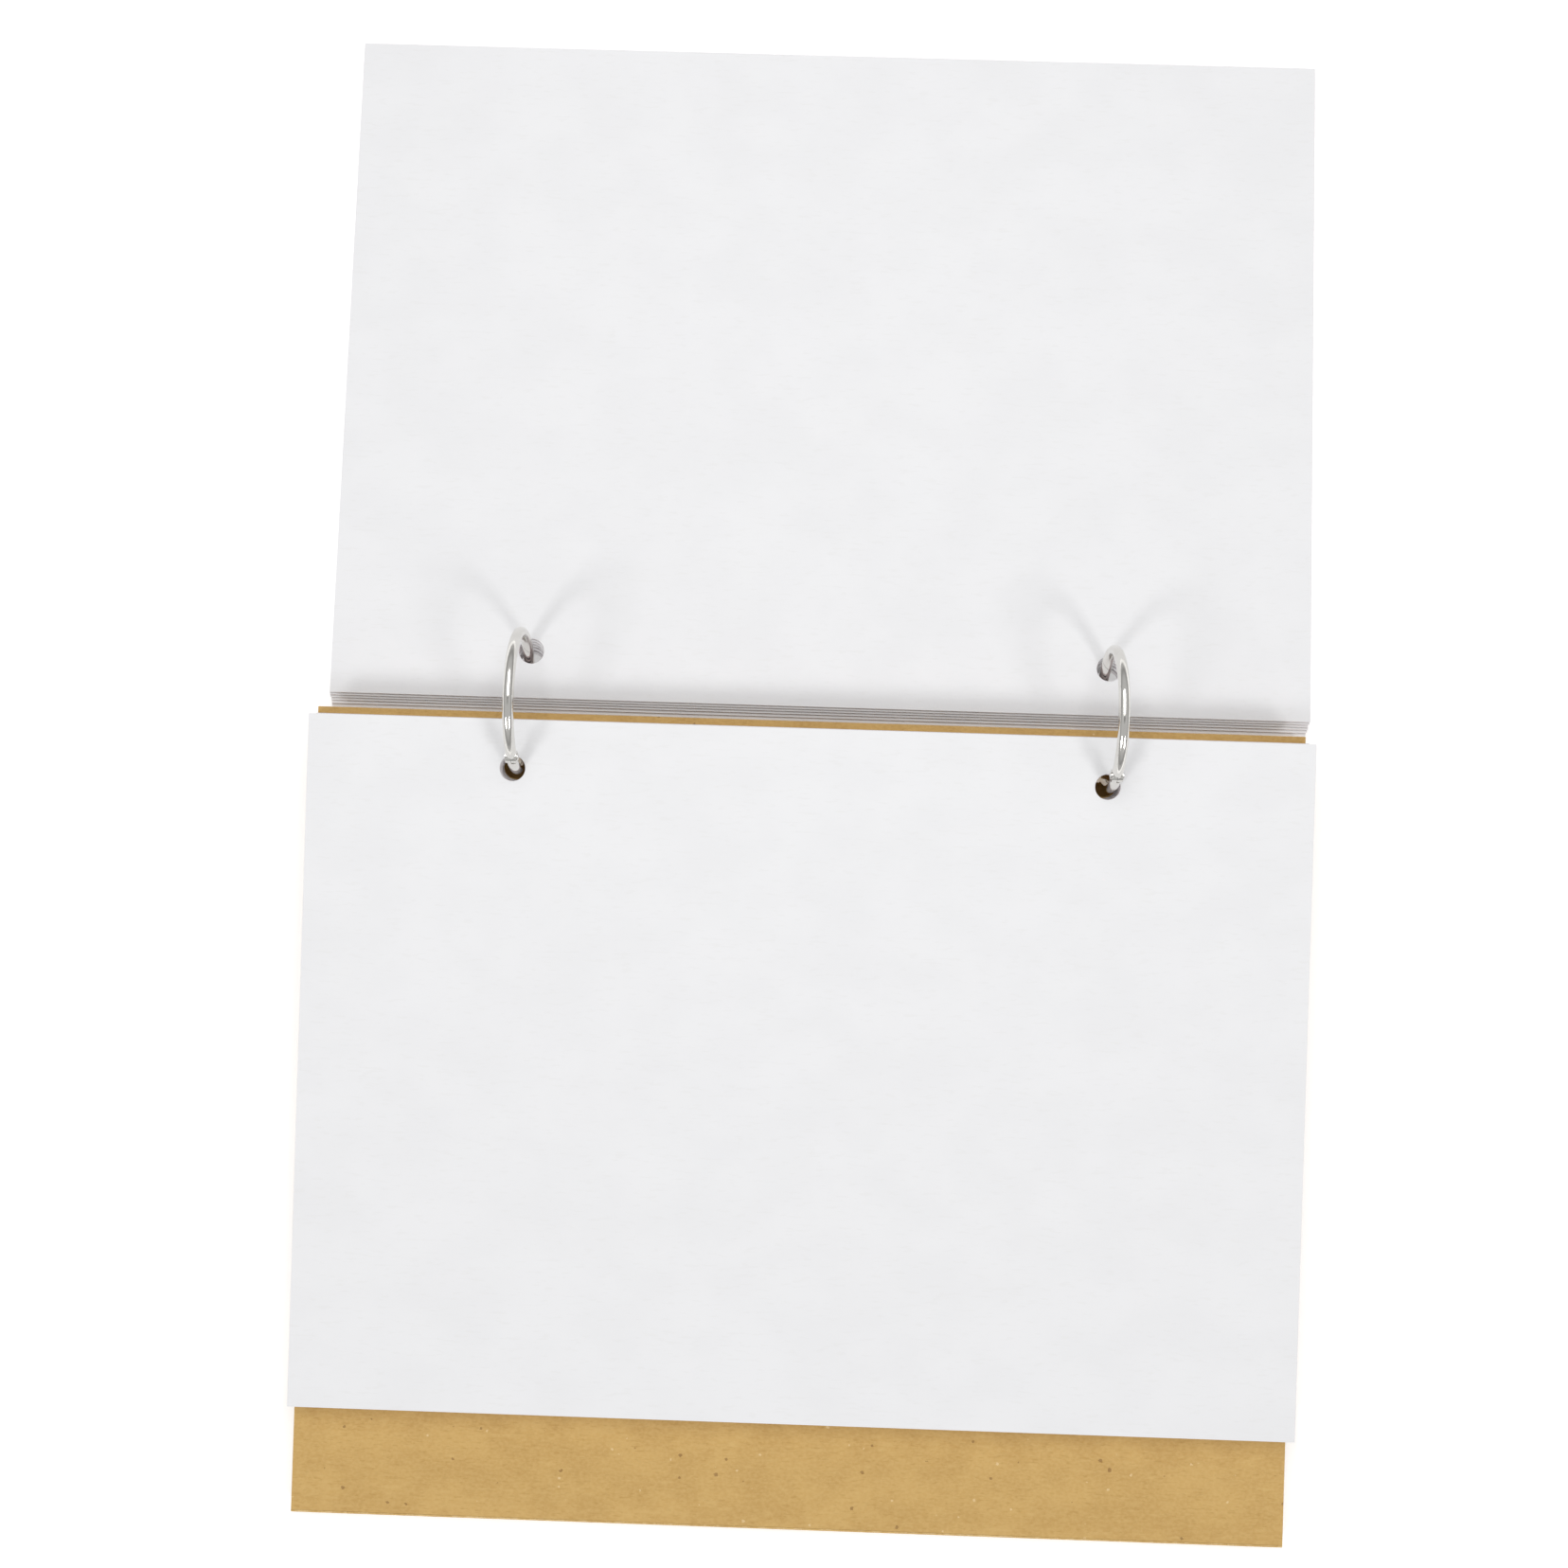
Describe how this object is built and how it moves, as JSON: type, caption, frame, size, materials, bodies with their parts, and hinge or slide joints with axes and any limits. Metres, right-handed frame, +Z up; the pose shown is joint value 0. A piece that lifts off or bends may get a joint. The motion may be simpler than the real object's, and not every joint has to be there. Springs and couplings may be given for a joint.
{
  "type": "scrapbook album",
  "caption": "Open ring-bound scrapbook album: blank card leaves on opening book rings, turned leaves on the table, the rest on a folding kraft board easel.",
  "frame": {"origin": "on the table under the middle of the whole open album", "axes": "+X along the bound edge, +Y from the leaves still to be turned towards the turned leaves, +Z up"},
  "size_m": [0.2114, 0.3182, 0.031],
  "materials": {
    "kraft_board": null,
    "white_card": null,
    "ring_steel": "bright nickel plated steel wire"
  },
  "bodies": {
    "easel_back": {"easel_back_panel": "kraft_board"},
    "easel_front": {"easel_front_panel": "kraft_board"},
    "base_rear": {"easel_base_rear": "kraft_board"},
    "base_front": {"easel_base_front": "kraft_board"},
    "front_leaf_01": {"front_leaf_01": "white_card"},
    "front_leaf_02": {"front_leaf_02": "white_card"},
    "front_leaf_03": {"front_leaf_03": "white_card"},
    "front_leaf_04": {"front_leaf_04": "white_card"},
    "front_leaf_05": {"front_leaf_05": "white_card"},
    "front_leaf_06": {"front_leaf_06": "white_card"},
    "front_leaf_07": {"front_leaf_07": "white_card"},
    "front_leaf_08": {"front_leaf_08": "white_card"},
    "front_leaf_09": {"front_leaf_09": "white_card"},
    "front_leaf_10": {"front_leaf_10": "white_card"},
    "turned_leaf_01": {"turned_leaf_01": "white_card"},
    "turned_leaf_02": {"turned_leaf_02": "white_card"},
    "turned_leaf_03": {"turned_leaf_03": "white_card"},
    "turned_leaf_04": {"turned_leaf_04": "white_card"},
    "turned_leaf_05": {"turned_leaf_05": "white_card"},
    "turned_leaf_06": {"turned_leaf_06": "white_card"},
    "left_ring": {"left_ring_fixed_half": "ring_steel", "left_ring_rivet": "ring_steel"},
    "left_gate": {"left_ring_gate_half": "ring_steel"},
    "right_ring": {"right_ring_fixed_half": "ring_steel", "right_ring_rivet": "ring_steel"},
    "right_gate": {"right_ring_gate_half": "ring_steel"}
  },
  "joints": [
    {"name": "easel_open", "type": "hinge", "parent": "easel_back", "child": "easel_front", "pos_m": [0, 0.01289, 0.0155], "axis": [1, 0, 0], "range_deg": [-22, 0]},
    {"name": "base_rear_fold", "type": "hinge", "parent": "easel_back", "child": "base_rear", "pos_m": [0, -0.159, 0.00115], "axis": [1, 0, 0], "range_deg": [0, 33.88]},
    {"name": "base_front_fold", "type": "hinge", "parent": "easel_front", "child": "base_front", "pos_m": [0, -0.15907, 0.00375], "axis": [1, 0, 0], "range_deg": [-33.88, 0]},
    {"name": "front_leaves_turn", "type": "hinge", "parent": "easel_front", "child": "front_leaf_02", "pos_m": [0, 0.01289, 0.0155], "axis": [-1, 0, 0], "range_deg": [0, 187]},
    {"name": "front_leaf_03_turn", "type": "hinge", "parent": "easel_front", "child": "front_leaf_03", "pos_m": [0, 0.01289, 0.0155], "axis": [-1, 0, 0], "range_deg": [0, 186.06]},
    {"name": "front_leaf_04_turn", "type": "hinge", "parent": "easel_front", "child": "front_leaf_04", "pos_m": [0, 0.01289, 0.0155], "axis": [-1, 0, 0], "range_deg": [0, 185.13]},
    {"name": "front_leaf_05_turn", "type": "hinge", "parent": "easel_front", "child": "front_leaf_05", "pos_m": [0, 0.01289, 0.0155], "axis": [-1, 0, 0], "range_deg": [0, 184.19]},
    {"name": "front_leaf_06_turn", "type": "hinge", "parent": "easel_front", "child": "front_leaf_06", "pos_m": [0, 0.01289, 0.0155], "axis": [-1, 0, 0], "range_deg": [0, 183.26]},
    {"name": "front_leaf_07_turn", "type": "hinge", "parent": "easel_front", "child": "front_leaf_07", "pos_m": [0, 0.01289, 0.0155], "axis": [-1, 0, 0], "range_deg": [0, 182.32]},
    {"name": "front_leaf_08_turn", "type": "hinge", "parent": "easel_front", "child": "front_leaf_08", "pos_m": [0, 0.01289, 0.0155], "axis": [-1, 0, 0], "range_deg": [0, 181.39]},
    {"name": "front_leaf_09_turn", "type": "hinge", "parent": "easel_front", "child": "front_leaf_09", "pos_m": [0, 0.01289, 0.0155], "axis": [-1, 0, 0], "range_deg": [0, 180.46]},
    {"name": "front_leaf_10_turn", "type": "hinge", "parent": "easel_front", "child": "front_leaf_10", "pos_m": [0, 0.01289, 0.0155], "axis": [-1, 0, 0], "range_deg": [0, 179.52]},
    {"name": "top_leaf_turn", "type": "hinge", "parent": "front_leaf_02", "child": "front_leaf_01", "pos_m": [0, 0.01289, 0.0155], "axis": [1, 0, 0], "range_deg": [-164, 0]},
    {"name": "turned_leaves_return", "type": "hinge", "parent": "easel_back", "child": "turned_leaf_01", "pos_m": [0, 0.01289, 0.0155], "axis": [1, 0, 0], "range_deg": [0, 187]},
    {"name": "turned_leaf_02_return", "type": "hinge", "parent": "easel_back", "child": "turned_leaf_02", "pos_m": [0, 0.01289, 0.0155], "axis": [1, 0, 0], "range_deg": [0, 186.06]},
    {"name": "turned_leaf_03_return", "type": "hinge", "parent": "easel_back", "child": "turned_leaf_03", "pos_m": [0, 0.01289, 0.0155], "axis": [1, 0, 0], "range_deg": [0, 185.13]},
    {"name": "turned_leaf_04_return", "type": "hinge", "parent": "easel_back", "child": "turned_leaf_04", "pos_m": [0, 0.01289, 0.0155], "axis": [1, 0, 0], "range_deg": [0, 184.19]},
    {"name": "turned_leaf_05_return", "type": "hinge", "parent": "easel_back", "child": "turned_leaf_05", "pos_m": [0, 0.01289, 0.0155], "axis": [1, 0, 0], "range_deg": [0, 183.26]},
    {"name": "turned_leaf_06_return", "type": "hinge", "parent": "easel_back", "child": "turned_leaf_06", "pos_m": [0, 0.01289, 0.0155], "axis": [1, 0, 0], "range_deg": [0, 182.32]},
    {"name": "left_ring_turn", "type": "hinge", "parent": "easel_back", "child": "left_ring", "pos_m": [-0.062, 0.01289, 0.0155], "axis": [1, 0, 0], "range_deg": [-8, 8]},
    {"name": "left_ring_open", "type": "hinge", "parent": "left_ring", "child": "left_gate", "pos_m": [-0.062, 0.00059, 0.02289], "axis": [-1, 0, 0], "range_deg": [-60, 0]},
    {"name": "right_ring_turn", "type": "hinge", "parent": "easel_back", "child": "right_ring", "pos_m": [0.062, 0.01289, 0.0155], "axis": [1, 0, 0], "range_deg": [-8, 8]},
    {"name": "right_ring_open", "type": "hinge", "parent": "right_ring", "child": "right_gate", "pos_m": [0.062, 0.00059, 0.02289], "axis": [-1, 0, 0], "range_deg": [-60, 0]}
  ],
  "couplings": [
    {"joint": "base_rear_fold", "follows": "easel_open", "ratio": -1.54},
    {"joint": "base_front_fold", "follows": "easel_open", "ratio": 1.54},
    {"joint": "front_leaf_03_turn", "follows": "front_leaves_turn", "ratio": 0.995},
    {"joint": "front_leaf_04_turn", "follows": "front_leaves_turn", "ratio": 0.99},
    {"joint": "front_leaf_05_turn", "follows": "front_leaves_turn", "ratio": 0.985},
    {"joint": "front_leaf_06_turn", "follows": "front_leaves_turn", "ratio": 0.98},
    {"joint": "front_leaf_07_turn", "follows": "front_leaves_turn", "ratio": 0.975},
    {"joint": "front_leaf_08_turn", "follows": "front_leaves_turn", "ratio": 0.97},
    {"joint": "front_leaf_09_turn", "follows": "front_leaves_turn", "ratio": 0.965},
    {"joint": "front_leaf_10_turn", "follows": "front_leaves_turn", "ratio": 0.96},
    {"joint": "turned_leaf_02_return", "follows": "turned_leaves_return", "ratio": 0.995},
    {"joint": "turned_leaf_03_return", "follows": "turned_leaves_return", "ratio": 0.99},
    {"joint": "turned_leaf_04_return", "follows": "turned_leaves_return", "ratio": 0.985},
    {"joint": "turned_leaf_05_return", "follows": "turned_leaves_return", "ratio": 0.98},
    {"joint": "turned_leaf_06_return", "follows": "turned_leaves_return", "ratio": 0.975}
  ]
}
